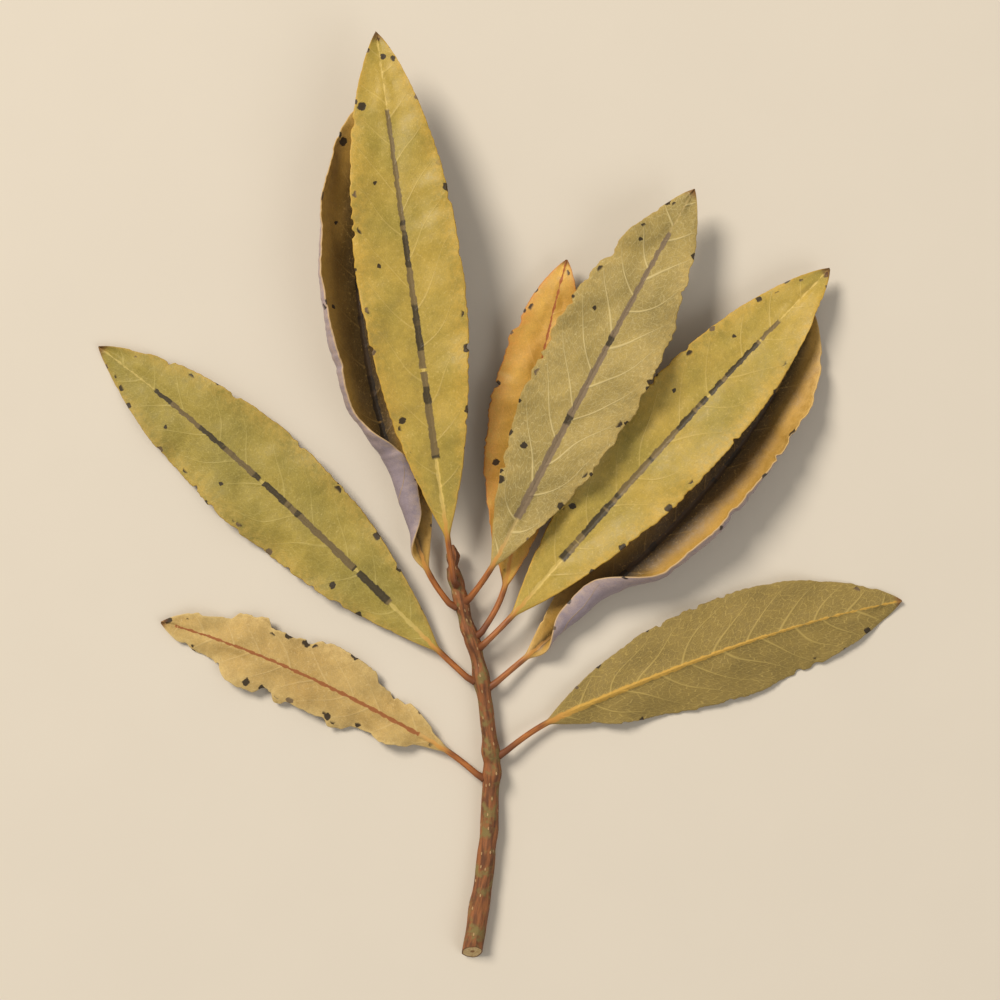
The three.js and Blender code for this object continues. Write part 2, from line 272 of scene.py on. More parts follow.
def mesh_object(name, points, faces, labels, slots, materials):
    """labels are vectors at each point for the materials to read. slots say which material a face has."""
    points = np.asarray(points, float) + SHIFT
    points[:, 2] = np.maximum(points[:, 2], LOWEST)
    mesh = bpy.data.meshes.new(name)
    mesh.from_pydata((points * MM).tolist(), [], [list(map(int, face)) for face in faces])
    for label, values in labels.items():
        attribute = mesh.attributes.new(label, "FLOAT_VECTOR", "POINT")
        attribute.data.foreach_set("vector", np.asarray(values, np.float32).ravel())
    for material in materials:
        mesh.materials.append(material)
    mesh.polygons.foreach_set("material_index", np.asarray(slots, np.int32))
    mesh.polygons.foreach_set("use_smooth", np.ones(len(mesh.polygons), bool))
    mesh.update()
    piece = bpy.data.objects.new(name, mesh)
    bpy.context.scene.collection.objects.link(piece)
    return piece


# ---------------------------------------------------------------- twig shape


def swelling(along):
    joints = np.array([leaf["at"] for leaf in LEAVES], float)
    gaps = (np.asarray(along, float)[..., None] - joints) / TWIG_SWELLING_LENGTH
    return TWIG_SWELLING * bump(gaps).max(-1)


def twig_radius(along):
    share = np.minimum(np.asarray(along, float) / TWIG_LENGTH, 1)
    return mix(TWIG_FOOT_RADIUS, TWIG_TOP_RADIUS, share) + swelling(along)


def kink(along):
    """How far the leaves passed so far have pushed the twig to the right."""
    pushed = np.zeros_like(along)
    for leaf in LEAVES:
        passed = ease((along - leaf["at"]) / TWIG_KINK_LENGTH + 0.5)
        pushed -= TWIG_ZIGZAG * math.cos(math.radians(leaf["around"])) * passed
    return pushed


def twig_middle(along):
    along = np.asarray(along, float)
    share = along / TWIG_LENGTH
    x = TWIG_BOW * np.sin(math.pi * np.minimum(share, 1)) - TWIG_LEAN * share + kink(along)
    lift = TWIG_TOP_LIFT * ease(share) * share
    return np.stack([x, along, twig_radius(along) + lift], -1)


def bud_radius(share):
    radii = [TWIG_TOP_RADIUS, BUD_NECK_RADIUS, BUD_RADIUS, BUD_SHOULDER_RADIUS, BUD_TIP_RADIUS]
    return through(BUD_PLACES, radii, share)


def bark_relief(along, around, rng):
    """How far the bark stands out, as a share of the radius: fine ribs along the twig and slow lumps."""
    place = grid_of(around[None, :, 0] * 1.3, along[:, None] * BARK_STRETCH, around[None, :, 1] * 1.3)
    ribs = layered_noise(place, BARK_RIBS, rng)
    return ribs + layered_noise(place * (1, 4, 1), BARK_LUMPS, rng)


def bud_scales(share, angle):
    turned = share[:, None] * BUD_SCALES + 0.5 * np.sin(2 * angle)[None, :]
    return (turned - np.floor(turned)) * BUD_SCALE_DEPTH * ease(share / 0.2)[:, None]


def twig_rings(angle):
    """The twig's rings from the cut to the tip of the bud, and how far along each one is."""
    rng = np.random.default_rng(TWIG_SEED)
    around = np.stack([np.cos(angle), np.sin(angle)], -1)
    in_bud = TWIG_LENGTH + BUD_LENGTH * np.linspace(0, 1, BUD_ROWS)[1:]
    along = np.concatenate([np.linspace(0, TWIG_LENGTH, TWIG_ROWS), in_bud])
    share = np.clip((along - TWIG_LENGTH) / BUD_LENGTH, 0, 1)
    middle = twig_middle(np.minimum(along, TWIG_LENGTH))
    radius = np.where(share > 0, bud_radius(share), twig_radius(along))
    relief = bark_relief(along, around, rng)
    scales = bud_scales(share, angle)
    reach = radius[:, None] * (1 + np.where(share[:, None] > 0, scales, relief))
    slant = CUT_SLOPE * np.clip(1 - along / CUT_BLEND, 0, 1)[:, None]
    x = middle[:, None, 0] + reach * around[None, :, 0]
    y = along[:, None] + slant * (reach * around[None, :, 1] - TWIG_FOOT_RADIUS)
    z = middle[:, None, 2] + reach * around[None, :, 1]
    return grid_of(x, y, z), along


def cut_face(foot, around):
    """The cut: rings down to the pith. Gives points, labels (how far out, x, z) and faces from point 0."""
    centre = foot.mean(0)
    sizes = 1 - np.arange(CUT_RINGS) / CUT_RINGS
    rings = centre + (foot - centre) * sizes[:, None, None]
    rings[..., 1] += CUT_DISH * (1 - sizes)[:, None]
    points = np.vstack([rings.reshape(-1, 3), centre[None] + (0, CUT_DISH, 0)])
    labels = grid_of(sizes[:, None], around[None, :, 0], around[None, :, 1]).reshape(-1, 3)
    quads, _ = ring_faces(CUT_RINGS, TWIG_SIDES)
    inner = list(range((CUT_RINGS - 1) * TWIG_SIDES, CUT_RINGS * TWIG_SIDES))
    faces = quads[:, ::-1].tolist() + cap(inner, len(points) - 1, False)
    return points, np.vstack([labels, np.zeros((1, 3))]), faces


def make_twig():
    turn = 2 * math.pi * np.arange(TWIG_SIDES) / TWIG_SIDES
    angle = -math.pi / 2 - turn
    around = np.stack([np.cos(angle), np.sin(angle)], -1)
    rings, along = twig_rings(angle)
    skin = rings.reshape(-1, 3)
    place = grid_of(around[None, :, 0] * 1.5, along[:, None], around[None, :, 1] * 1.5).reshape(-1, 3)
    unrolled = grid_of(along[:, None], turn[None, :] * TWIG_FOOT_RADIUS, 0.0).reshape(-1, 3)

    tip = len(skin)
    skin = np.vstack([skin, rings[-1].mean(0)[None]])
    place = np.vstack([place, [[0, along[-1], 0]]])
    faces = ring_faces(len(along), TWIG_SIDES)[0].tolist()
    faces += cap(list(range(tip - TWIG_SIDES, tip)), tip, True)
    slots = [0] * len(faces)

    cut_points, cut_labels, cut_faces = cut_face(rings[0], around)
    faces += [[corner + len(skin) for corner in face] for face in cut_faces]
    slots += [1] * len(cut_faces)
    blank = np.zeros_like(cut_labels)
    labels = dict(
        place=np.vstack([place, cut_labels]),
        cut=np.vstack([np.ones_like(place), cut_labels]),
        bark=np.vstack([unrolled, np.zeros((1, 3)), blank]),
    )
    points = np.vstack([skin, cut_points])
    return mesh_object("twig_skin", points, faces, labels, slots, [bark(), cut_wood()])


# ---------------------------------------------------------------- leaf shape


def stalk_outward(leaf):
    """From the twig's middle towards where the leaf joins it."""
    angle = math.radians(leaf["around"])
    return np.array([math.cos(angle), 0, math.sin(angle)])


def spine(leaf):
    """The midrib's path from the stalk's foot to the tip."""
    total = leaf["stalk"] + leaf["length"]
    third = leaf["length"] / 3
    reach = float(twig_radius(leaf["at"])) + PETIOLE_GAP
    foot = twig_middle(leaf["at"]) + reach * stalk_outward(leaf)
    places = [0, leaf["stalk"], leaf["stalk"] + third, leaf["stalk"] + 2 * third, total]
    step = total / SPINE_STEPS
    steps = np.arange(SPINE_STEPS + 1) * step
    z = through(places, [foot[2], *leaf["heights"]], steps)
    z[0] = foot[2]
    middle = steps[:-1] + step / 2
    turned = mix(leaf["leaving"], leaf["heading"], ease(middle / (STALK_BEND * leaf["stalk"])))
    heading = np.radians(turned + leaf["bend"] * (middle / total) ** 2)
    level = np.sqrt(np.maximum(step * step - np.diff(z) ** 2, 0))
    x = foot[0] + np.concatenate([[0], np.cumsum(level * np.sin(heading))])
    y = foot[1] + np.concatenate([[0], np.cumsum(level * np.cos(heading))])
    return np.stack([x, y, z], -1)


def rooted_spine(leaf):
    """The spine with its foot carried on into the twig, and how far along each point is."""
    points = spine(leaf)
    skin = float(twig_radius(leaf["at"]))
    root = twig_middle(leaf["at"] - 2 * FOOT_DEPTH) + (skin - FOOT_DEPTH) * stalk_outward(leaf)
    along = np.linspace(0, leaf["stalk"] + leaf["length"], len(points))
    gap = np.linalg.norm(points[0] - root)
    share = np.linspace(0, 1, 9)[:-1, None]
    leaving = unit(points[1] - points[0])
    lead = mix(root, points[0] - leaving * gap * 0.25 * (1 - share), share)
    return np.vstack([lead, points]), np.concatenate([-gap * (1 - share[:, 0]), along])


def frames(path, along, places, roll):
    """At each place: the point, right across the leaf, and up off its upper face."""

    def point_at(where):
        return np.stack([np.interp(where, along, path[:, k]) for k in range(3)], -1)

    ahead = 0.6
    forward = unit(point_at(places + ahead) - point_at(places - ahead))
    level = unit(np.cross(forward, [0.0, 0.0, 1.0]))
    raised = np.cross(level, forward)
    angle = np.radians(roll)[:, None]
    right = level * np.cos(angle) + raised * np.sin(angle)
    return point_at(places), right, np.cross(right, forward)


def outline(share):
    widest = WIDEST_RISE / (WIDEST_RISE + WIDEST_FALL)
    top = widest**WIDEST_RISE * (1 - widest) ** WIDEST_FALL
    return share**WIDEST_RISE * (1 - share) ** WIDEST_FALL / top


def margin_loss(leaf, share, side, rng):
    """What is missing from the half width, as a share of it: fine teeth, nicks, and tears."""
    look = LOOKS[leaf["look"]]
    v = share * leaf["length"]
    line = grid_of(v, side * SIDES_APART)
    teeth = 0.5 + layered_noise(line, TEETH, rng)
    torn = ease(0.5 + TEAR_SHARPNESS * noise(line, TEAR_WAVELENGTH, rng))
    loss = look["teeth"] * teeth + look["ragged"] * torn
    for _ in range(look["nicks"]):
        place = rng.uniform(*NICK_PLACES) * leaf["length"]
        depth = rng.uniform(*NICK_DEPTHS)
        reach = rng.uniform(*NICK_REACHES)
        loss = loss + depth * bump(((v - place) / reach) ** 2)
    at_foot, at_tip = WHOLE_AT_ENDS
    return np.clip(loss, 0, 0.5) * ease(share / at_foot) * ease((1 - share) / at_tip)


def columns():
    """Places across a half blade, from the midrib at 0 to the margin at 1."""
    t = np.linspace(0, 1, HALF_COLUMNS + 1)
    return t - COLUMN_CROWDING * np.sin(2 * math.pi * t) / (2 * math.pi)


def turning(leaf, half, share):
    """How far one half has turned up, in radians, as a function of the share of its width."""
    fold = math.radians(leaf["fold"][half]) * ease(share / BLADE_START)[:, None]
    curl = math.radians(leaf["curl"][half]) * np.sin(math.pi * share**CURL_RISE)[:, None]
    tuck = math.radians(leaf["tuck"][half])
    closed = ease(share / TUCK_START) * (1 - ease((share - TUCK_HOLD) / TUCK_OPENING))
    tucked = closed[:, None] * (tuck != 0)
    grip = leaf["grip"][half]
    return lambda t: fold + mix(curl * t**grip, tuck * t**TUCK_GRIP, tucked)


def walk_out(turned, half_width):
    """How far across and how far up each column lies, turning all the way out from the midrib."""
    t = columns()
    ends = np.linspace(t[:-1], t[1:], WALK_STEPS + 1, axis=1)
    between = ((ends[:, 1:] + ends[:, :-1]) / 2).ravel()
    pace = np.diff(ends, axis=1).ravel() * half_width
    angle = turned(between)

    def add_up(steps):
        return np.hstack([np.zeros((len(steps), 1)), np.cumsum(steps, 1)[:, WALK_STEPS - 1 :: WALK_STEPS]])

    return add_up(pace * np.cos(angle)), add_up(pace * np.sin(angle))


def vein_phase(leaf, side, u, v, drift):
    """Counts the side veins: it is a half more than a whole number on each of them."""
    climb = VEIN_LEAN * u + VEIN_CURVE * u * u
    start = 0.5 if side > 0 else 0.1
    return (v - climb + drift) / LOOKS[leaf["look"]]["vein_gap"] + start


def thicknesses(look, share, t, u, half_width, radius, phase, bladeness):
    """How far the upper and the lower face stand off the middle of the leaf."""
    off_vein = np.abs(phase - np.floor(phase) - 0.5) * look["vein_gap"] * VEIN_SLANT
    vein = bump(off_vein / VEIN_RIDGE) * bladeness * (1 - 0.7 * t) * ease(t / 0.04)
    quilt = -np.cos(2 * math.pi * (phase - 0.5)) * bladeness * ease(t / 0.2) * (1 - t)
    to_margin = half_width - u
    round_off = np.clip(1 - to_margin / EDGE_ROUNDING, 0, 1)
    edge = np.sqrt(1 - round_off**2)
    flat = (BLADE_THICKNESS / 2 + MARGIN_BEAD * bump(to_margin / 0.3) * bladeness) * edge
    stalk = radius * np.sqrt(np.clip(1 - t * t, 0, 1))
    thick = mix(stalk, np.minimum(flat, stalk + 0.08), bladeness)
    rib = RIB_HEIGHT * (1 - share) ** 0.7 * bump(u / mix(*RIB_RIDGE, share)) * bladeness
    groove = GROOVE_DEPTH * (1 - share) * bump(u / GROOVE_RIDGE) * bladeness
    relief_above = VEIN_HEIGHT * vein + QUILT_HEIGHT * quilt
    relief_below = VEIN_HEIGHT_BELOW * vein - QUILT_HEIGHT_BELOW * quilt
    above = thick + look["relief"] * relief_above * edge - groove
    below = thick + look["relief"] * relief_below * edge + rib
    return above, below


def stations(leaf, root):
    """Places along the leaf from the stalk's root to the tip, and the share of the blade passed at each."""
    stalk = np.linspace(root, leaf["stalk"], STALK_STATIONS, endpoint=False)
    blade = leaf["stalk"] + leaf["length"] * np.linspace(0, 1, BLADE_STATIONS + 1)
    places = np.concatenate([stalk, blade])
    return places, np.clip((places - leaf["stalk"]) / leaf["length"], 0, 1)


def widths(leaf, side, places, share, rng):
    """The stalk's radius at each station, and the half width of the stalk and blade together."""
    foot = 1 + FOOT_SWELLING * np.exp(-np.maximum(places - places[0], 0) / FOOT_SWELLING_LENGTH)
    radius = (mix(PETIOLE_RADIUS, TIP_RADIUS, share) * foot)[:, None]
    kept = 1 - margin_loss(leaf, share, side, rng)
    return radius, np.hypot(radius, (leaf["width"] / 2 * outline(share) * kept)[:, None])


def unevenness(leaf, side, share, t, bladeness, flat_place, rng):
    """How far the blade's waves and cockles lift it off its smooth shape."""
    swing = np.sin(2 * math.pi * leaf["waves"] * share[:, None] + side + leaf["at"])
    ripple = leaf["wave"] * t * t * bladeness * swing
    cockle = layered_noise(flat_place, COCKLES, rng) * bladeness * ease(t / 0.35)
    return ripple + cockle * LOOKS[leaf["look"]]["cockle"]


def half_blade(leaf, side, path, rng):
    """Grids over one half: the upper face, the lower face, and labels for the materials."""
    look = LOOKS[leaf["look"]]
    spine_points, spine_along = path
    places, share = stations(leaf, spine_along[0])
    bladeness = ease(share / BLADE_START)[:, None]
    at, right, up = frames(spine_points, spine_along, places, through([0, 0.5, 1], leaf["roll"], share))
    radius, half_width = widths(leaf, side, places, share, rng)

    t = columns()[None, :]
    turned = turning(leaf, 1 if side > 0 else 0, share)
    across, rise = walk_out(turned, half_width)
    angle = turned(t)[..., None]
    normal = np.cos(angle) * up[:, None] - side * np.sin(angle) * right[:, None]
    middle = at[:, None] + side * across[..., None] * right[:, None] + rise[..., None] * up[:, None]

    u = half_width * t
    v = np.broadcast_to((places - leaf["stalk"])[:, None], u.shape)
    flat_place = np.stack([side * u, v], -1)
    lift = unevenness(leaf, side, share, t, bladeness, flat_place, rng)
    middle = middle + lift[..., None] * normal

    phase = vein_phase(leaf, side, u, v, layered_noise(flat_place, VEIN_DRIFT, rng))
    above, below = thicknesses(look, share[:, None], t, u, half_width, radius, phase, bladeness)
    labels = dict(
        place=grid_of(side * u, v, t * side),
        growth=grid_of(phase, share[:, None], half_width - u),
        net=grid_of(u * NET_STRETCH, phase * look["vein_gap"] + side * NET_SIDES_APART, 0.0),
    )
    return middle + above[..., None] * normal, middle - below[..., None] * normal, labels


def leaf_arrays(leaf):
    """The leaf's rings as one grid of points, with the labels that its materials read."""
    rng = np.random.default_rng(leaf["seed"])
    path = rooted_spine(leaf)
    left = half_blade(leaf, -1, path, rng)
    right = half_blade(leaf, 1, path, rng)

    def across(left_grid, right_grid):
        return np.concatenate([left_grid[:, :0:-1], right_grid], axis=1)

    def round_ring(over, under):
        return np.concatenate([over, under[:, -2:0:-1]], axis=1)

    points = round_ring(across(left[0], right[0]), across(left[1], right[1]))
    labels = {}
    for name in right[2]:
        face = across(left[2][name], right[2][name])
        labels[name] = round_ring(face, face)
    return points, labels


def make_leaf(leaf):
    points, labels = leaf_arrays(leaf)
    stations, sides = points.shape[:2]

    def with_ends(grid):
        return np.vstack([grid.reshape(-1, 3), grid[0].mean(0), grid[-1].mean(0)])

    quads, start = ring_faces(stations, sides)
    count = stations * sides
    first = list(range(sides))
    last = list(range(count - sides, count))
    caps = cap(first, count, False) + cap(last, count + 1, True)
    lower_face = (start >= 2 * HALF_COLUMNS).astype(int)
    slots = np.concatenate([lower_face, np.zeros(len(caps), int)])
    flat_labels = {name: with_ends(values) for name, values in labels.items()}
    materials = [leaf_face(leaf, "over"), leaf_face(leaf, "under")]
    name = leaf["name"] + "_skin"
    return mesh_object(name, with_ends(points), quads.tolist() + caps, flat_labels, slots, materials)


# ---------------------------------------------------------------- colours


def rgb(red, green, blue):
    """A colour given as on screen, 0 to 255, as the linear numbers that a shader takes."""
    linear = [
        c / 12.92 if c <= 0.04045 else ((c + 0.055) / 1.055) ** 2.4
        for c in (red / 255, green / 255, blue / 255)
    ]
    return (*linear, 1.0)


def darker(colour, share):
    return tuple(c * share for c in colour[:3]) + (1.0,)


RIB_INK = rgb(34, 25, 14)
RIB_ORANGE = rgb(198, 138, 58)
STALK_ORANGE = rgb(176, 106, 46)
STALK_DARK = rgb(112, 62, 30)
SPOT_DARK = rgb(40, 27, 13)
SPOT_PALE = rgb(104, 84, 60)
TIP_BROWN = rgb(120, 74, 36)
SPOT_SQUARENESS = 3.2  # 2 is round, and more is squarer
BARK_RED = rgb(150, 92, 50)
BARK_DARK = rgb(96, 58, 34)
BARK_GREEN = rgb(126, 108, 62)
BARK_PORE = rgb(190, 152, 104)
WOOD_PALE = rgb(214, 186, 134)
WOOD_TAN = rgb(188, 154, 100)
PITH = rgb(146, 104, 62)
CUT_BARK = rgb(104, 64, 36)
FLOOR = rgb(216, 205, 187)

# base and other: the two ground colours. edge: the warm tint and rim at the margin. under: the underside.
# rib_pale and vein_pale: the fine line on the midrib, and the veins. vein_width and vein_gap are in mm.
# rib: the dark band on the midrib, of half width band mm, between the shares band_from and band_to.
# ink: how little of that band is near black. gaps: how often it is broken.
# vein, net, under_net: how strongly side veins and the net between them show. relief: how far they stand out.
# teeth, ragged, nicks, cockle: the margin's roughness and the blade's unevenness.
# painted_trough_shade: painted shade, how much darker the upper face is made towards the midrib, for the
# shadow in a curled leaf's trough. spots: the share of places that have a dark spot.
LOOKS = {
    "olive_gold": dict(
        base=rgb(186, 155, 64), other=rgb(159, 138, 55),
        edge=rgb(198, 155, 58), under=rgb(150, 134, 122),
        rib=rgb(112, 92, 56), rib_pale=rgb(214, 184, 100), vein_pale=rgb(214, 186, 106),
        band=0.68, band_from=0.16, band_to=0.84, ink=0.5, gaps=0.34,
        vein=0.5, vein_width=0.16, vein_gap=8.0, net=0.3, under_net=0.3, relief=1.0,
        teeth=0.02, ragged=0.0, nicks=7, cockle=1.0,
        painted_trough_shade=0.0, spots=0.3, roughness=0.5,
    ),
    "golden_brown": dict(
        base=rgb(194, 150, 66), other=rgb(166, 126, 53),
        edge=rgb(208, 170, 98), under=rgb(158, 142, 148),
        rib=rgb(64, 47, 28), rib_pale=rgb(148, 114, 58), vein_pale=rgb(186, 150, 82),
        band=0.6, band_from=0.2, band_to=0.8, ink=0.5, gaps=0.34,
        vein=0.3, vein_width=0.14, vein_gap=8.0, net=0.25, under_net=0.12, relief=0.8,
        teeth=0.02, ragged=0.0, nicks=7, cockle=0.8,
        painted_trough_shade=0.84, spots=0.25, roughness=0.5,
    ),
    "pale_khaki": dict(
        base=rgb(173, 148, 80), other=rgb(150, 129, 68),
        edge=rgb(182, 152, 82), under=rgb(148, 136, 116),
        rib=rgb(124, 104, 80), rib_pale=rgb(186, 160, 100), vein_pale=rgb(206, 186, 128),
        band=0.72, band_from=0.13, band_to=0.88, ink=0.62, gaps=0.26,
        vein=1.0, vein_width=0.2, vein_gap=7.0, net=0.9, under_net=0.5, relief=1.6,
        teeth=0.025, ragged=0.05, nicks=9, cockle=1.6,
        painted_trough_shade=0.0, spots=0.34, roughness=0.7,
    ),
    "orange_tan": dict(
        base=rgb(214, 168, 72), other=rgb(198, 146, 56),
        edge=rgb(190, 116, 46), under=rgb(166, 140, 104),
        rib=rgb(168, 92, 38), rib_pale=rgb(204, 132, 56), vein_pale=rgb(226, 176, 96),
        band=0.3, band_from=0.1, band_to=1.0, ink=0.9, gaps=0.1,
        vein=0.4, vein_width=0.16, vein_gap=6.0, net=0.3, under_net=0.3, relief=1.0,
        teeth=0.03, ragged=0.04, nicks=8, cockle=1.2,
        painted_trough_shade=0.0, spots=0.3, roughness=0.55,
    ),
    "dull_olive": dict(
        base=rgb(164, 142, 60), other=rgb(142, 126, 52),
        edge=rgb(186, 150, 68), under=rgb(140, 126, 112),
        rib=rgb(104, 86, 54), rib_pale=rgb(196, 172, 94), vein_pale=rgb(196, 176, 100),
        band=0.66, band_from=0.15, band_to=0.84, ink=0.48, gaps=0.34,
        vein=0.5, vein_width=0.16, vein_gap=7.5, net=0.5, under_net=0.3, relief=1.1,
        teeth=0.022, ragged=0.0, nicks=8, cockle=1.2,
        painted_trough_shade=0.0, spots=0.34, roughness=0.58,
    ),
    "veined_khaki": dict(
        base=rgb(158, 140, 86), other=rgb(142, 126, 76),
        edge=rgb(154, 130, 70), under=rgb(146, 122, 60),
        rib=rgb(196, 146, 52), rib_pale=rgb(206, 160, 66), vein_pale=rgb(196, 168, 92),
        band=0.45, band_from=0.0, band_to=1.0, ink=0.9, gaps=0.1,
        vein=0.8, vein_width=0.2, vein_gap=6.2, net=0.8, under_net=1.0, relief=1.4,
        teeth=0.02, ragged=0.02, nicks=6, cockle=1.0,
        painted_trough_shade=0.0, spots=0.3, roughness=0.7,
    ),
    "cream_tan": dict(
        base=rgb(194, 162, 96), other=rgb(174, 140, 76),
        edge=rgb(206, 178, 116), under=rgb(176, 152, 112),
        rib=rgb(150, 86, 40), rib_pale=rgb(196, 160, 96), vein_pale=rgb(214, 188, 130),
        band=0.32, band_from=0.1, band_to=0.95, ink=0.9, gaps=0.3,
        vein=0.4, vein_width=0.18, vein_gap=6.0, net=0.4, under_net=0.4, relief=1.0,
        teeth=0.03, ragged=0.2, nicks=12, cockle=1.4,
        painted_trough_shade=0.0, spots=0.42, roughness=0.72,
    ),
}


# ---------------------------------------------------------------- materials


class Recipe:
    """A material's node tree. Each call adds a node and gives back its output."""

    def __init__(self, name):
        self.material = bpy.data.materials.new(name)
        self.material.use_nodes = True
        self.tree = self.material.node_tree
        self.tree.nodes.clear()

    def add(self, kind, inputs=None, output=0, **settings):
        node = self.tree.nodes.new(kind)
        for key, value in settings.items():
            setattr(node, key, value)
        for key, value in (inputs or {}).items():
            if isinstance(value, bpy.types.NodeSocket):
                self.tree.links.new(value, node.inputs[key])
            else:
                node.inputs[key].default_value = value
        return node.outputs[output]

    def math(self, operation, a, b=0.0):
        return self.add("ShaderNodeMath", {0: a, 1: b}, operation=operation)

    def times(self, *factors):
        product = factors[0]
        for factor in factors[1:]:
            product = self.math("MULTIPLY", product, factor)
        return product

    def fade(self, x, zero_at, one_at, low=0.0, high=1.0):
        inputs = {"Value": x, "From Min": zero_at, "From Max": one_at, "To Min": low, "To Max": high}
        return self.add("ShaderNodeMapRange", inputs, interpolation_type="SMOOTHSTEP")

    def blend(self, share, a, b):
        """Mixes two colours: a mix node has them at inputs 6 and 7, and their mix at output 2."""
        return self.add("ShaderNodeMix", {0: share, 6: a, 7: b}, 2, data_type="RGBA")

    def toned(self, colour, tone):
        return self.add("ShaderNodeVectorMath", {0: colour, "Scale": tone}, operation="SCALE")

    def label(self, name):
        kind = "ShaderNodeAttribute"
        return self.add(kind, None, "Vector", attribute_name=name, attribute_type="GEOMETRY")

    def split(self, vector):
        node = self.tree.nodes.new("ShaderNodeSeparateXYZ")
        self.tree.links.new(vector, node.inputs[0])
        return node.outputs

    def scaled(self, vector, scale, offset=(0, 0, 0)):
        inputs = {0: vector, 1: scale, 2: offset}
        return self.add("ShaderNodeVectorMath", inputs, operation="MULTIPLY_ADD")

    def noise(self, vector, scale, detail=3.0, roughness=0.55, colour=False):
        inputs = {"Vector": vector, "Scale": scale, "Detail": detail, "Roughness": roughness}
        return self.add("ShaderNodeTexNoise", inputs, 1 if colour else 0)

    def cells(self, vector, size, output="Distance", exponent=None, **settings):
        inputs = {"Vector": vector, "Scale": 1 / size}
        if exponent is not None:
            inputs["Exponent"] = exponent
        return self.add("ShaderNodeTexVoronoi", inputs, output, voronoi_dimensions="2D", **settings)

    def surface(self, colour, roughness, height, distance, specular):
        normal = self.add("ShaderNodeBump", {"Height": height, "Distance": distance, "Strength": 1.0})
        inputs = {"Base Color": colour, "Roughness": roughness, "Normal": normal}
        inputs["Specular IOR Level"] = specular
        shader = self.add("ShaderNodeBsdfPrincipled", inputs)
        out = self.tree.nodes.new("ShaderNodeOutputMaterial")
        self.tree.links.new(shader, out.inputs["Surface"])
        return self.material


class LeafLabels:
    """What a leaf's mesh says at each point, as sockets."""

    def __init__(self, r):
        self.place = r.label("place")
        u, self.v, t = r.split(self.place)
        self.phase, self.share, self.margin = r.split(r.label("growth"))
        self.net = r.label("net")
        self.out = r.math("ABSOLUTE", u)
        self.out_share = r.math("ABSOLUTE", t)
        self.mottle = r.noise(self.place, 0.9, 4, 0.65)
        self.grain = r.noise(self.place, 5.0, 3, 0.6)


def leaf_ground(r, leaf, labels, upper):
    """Slow patches of two colours, warmer towards the margin, with a fine mottle and pale pinpoints, and
    painted shade towards the midrib where a look asks for it.
    """
    look = LOOKS[leaf["look"]]
    patches = r.noise(r.scaled(labels.place, (1, 1, 1), (0, 0, leaf["seed"])), 0.09, 3)
    base = look["base"] if upper else look["under"]
    other = look["other"] if upper else darker(look["under"], 0.8)
    colour = r.blend(r.fade(patches, 0.28, 0.72), base, other)
    warm = r.times(r.fade(labels.out_share, 0.5, 1.0), r.fade(labels.mottle, 0.3, 0.62))
    colour = r.blend(r.times(warm, 0.5 if upper else 0.2), colour, look["edge"])
    shade = r.fade(labels.mottle, 0.25, 0.75, 0.9, 1.08)
    fine = r.fade(labels.grain, 0.25, 0.75, 0.9, 1.1)
    tone = r.times(shade, fine)
    # Painted shade: the upper face is darkened towards the midrib to stand in for the shadow in the trough of
    # a curled leaf, so that the rolled rim stays light.
    if upper and look["painted_trough_shade"]:
        tone = r.times(tone, r.fade(labels.out_share, 0.05, 0.62, 1 - look["painted_trough_shade"], 1.0))
    colour = r.toned(colour, tone)
    pinpoints = r.fade(r.noise(labels.place, 2.3, 2, 0.5), 0.6, 0.7, 0.0, 0.32)
    return r.blend(pinpoints, colour, look["vein_pale"] if upper else look["under"])


def leaf_veins(r, look, labels, upper):
    """How much of the vein colour shows: side veins, and the net of small veins between them."""
    saw = r.math("FRACT", labels.phase)
    off = r.times(r.math("ABSOLUTE", r.math("SUBTRACT", saw, 0.5)), look["vein_gap"] * VEIN_SLANT)
    width = r.fade(labels.out_share, 0.0, 1.0, look["vein_width"], look["vein_width"] * 0.35)
    side_vein = r.times(r.fade(r.math("DIVIDE", off, width), 1.3, 0.4), r.fade(labels.out_share, 1.0, 0.72))
    large = r.fade(r.cells(labels.net, 1.1, feature="DISTANCE_TO_EDGE"), 0.09, 0.02)
    small = r.fade(r.cells(labels.net, 0.42, feature="DISTANCE_TO_EDGE"), 0.13, 0.02, 0.0, 0.55)
    net = r.times(r.math("MAXIMUM", large, small), 0.6 * (look["net"] if upper else look["under_net"]))
    veins = r.math("MAXIMUM", r.times(side_vein, look["vein"] if upper else 0.7), net)
    return r.times(veins, r.fade(labels.v, -0.6, 3.5))


def within(r, x, middle_of_edge, half_edge):
    """1 inside the edge and 0 outside, with a short ramp."""
    return r.fade(x, middle_of_edge + half_edge, middle_of_edge - half_edge)


def midrib_band(r, leaf, labels, off, colour):
    """The dark band along the middle part of the midrib, in pieces, some of them near black."""
    look = LOOKS[leaf["look"]]
    seed = leaf["seed"]
    pieces = r.noise(r.scaled(labels.place, (0.02, 0.32, 0.0), (0, 0, seed)), 1.0, 2, 0.5)
    blots = r.noise(r.scaled(labels.place, (0.02, 0.13, 0.0), (0, 0, seed + 0.5)), 1.0, 3, 0.6)
    half_width = r.fade(labels.share, 0.1, 0.95, look["band"], look["band"] * 0.55)
    band = within(r, r.math("DIVIDE", off, half_width), 1.0, 0.14)
    starts = r.fade(labels.share, look["band_from"] - 0.006, look["band_from"])
    ends = r.fade(labels.share, look["band_to"] + 0.006, look["band_to"])
    whole = r.fade(pieces, look["gaps"], look["gaps"] + 0.02)
    tint = r.times(r.fade(blots, look["ink"], look["ink"] + 0.03), 0.92)
    band_colour = r.blend(tint, look["rib"], RIB_INK)
    return r.blend(r.times(band, starts, ends, whole, 0.94), colour, band_colour)


